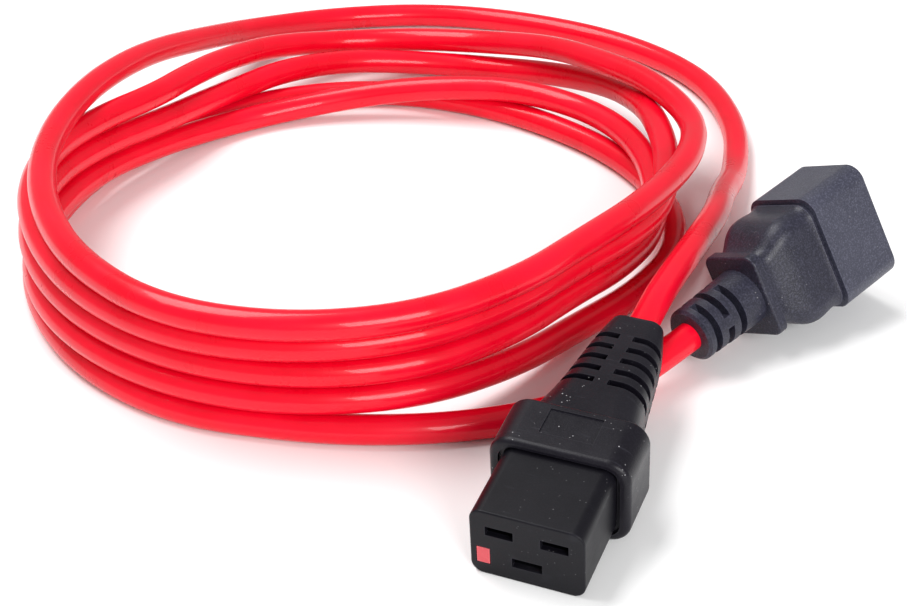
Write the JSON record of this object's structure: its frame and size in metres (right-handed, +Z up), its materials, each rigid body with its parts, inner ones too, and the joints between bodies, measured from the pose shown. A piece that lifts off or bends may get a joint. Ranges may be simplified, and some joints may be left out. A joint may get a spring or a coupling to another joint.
{
  "type": "locking power cord connector",
  "caption": "Locking 16 A mains connector with a moulded neck and slotted strain relief, on a coiled red cable that ends in its mating plug.",
  "frame": {"origin": "on the ground under the middle of the connector, which lies nose down", "axes": "+X to the connector's left as its face is seen, +Y back along the connector towards its cable, +Z up"},
  "size_m": [0.2818, 0.3033, 0.0423],
  "materials": {
    "overmould_black": "soft satin, fine grain",
    "insert_black": "fine matte moulding",
    "shroud_black": "satin, fine grain",
    "bridge_grey": "matte moulding",
    "release_red": "smooth moulding",
    "cable_red": "semi-gloss sheath",
    "contact_brass": "pressed, bright",
    "pin_nickel": "nickel plated",
    "lock_steel": "pressed spring steel",
    "core_brown": "smooth insulation",
    "core_blue": "smooth insulation",
    "core_green_yellow": "smooth insulation, green and yellow"
  },
  "bodies": {
    "cord_set": {"contact_carrier": "insert_black", "rear_cover": "insert_black", "grip_overmould": "overmould_black", "line_contact": "contact_brass", "neutral_contact": "contact_brass", "earth_contact": "contact_brass", "lock_spring": "lock_steel", "line_core": "core_brown", "neutral_core": "core_blue", "earth_core": "core_green_yellow", "socket_sheath": "cable_red", "socket_lead": "cable_red", "cable_coil": "cable_red", "plug_lead": "cable_red", "plug_shroud": "shroud_black", "plug_grip": "overmould_black", "plug_bridge": "bridge_grey", "plug_line_pin": "pin_nickel", "plug_neutral_pin": "pin_nickel", "plug_earth_pin": "pin_nickel", "plug_line_core": "core_brown", "plug_neutral_core": "core_blue", "plug_earth_core": "core_green_yellow", "plug_sheath": "cable_red"},
    "slider": {"release_slider": "release_red"},
    "lock": {"lock_plate": "lock_steel"}
  },
  "joints": [
    {"name": "release_slide", "type": "slide", "parent": "cord_set", "child": "slider", "axis": [0, 0.9936, 0.1126], "range_m": [0, 0.0018], "stiffness_N_per_m": 200, "springref_m": -0.004, "deforming": ["lock_spring"]},
    {"name": "lock_tilt", "type": "hinge", "parent": "cord_set", "child": "lock", "pos_m": [0, -0.03555, 0.00404], "axis": [1, 0, 0], "range_deg": [-22.2, 0]}
  ],
  "couplings": [
    {"joint": "lock_tilt", "follows": "release_slide", "rad_per_m": -213.32}
  ]
}
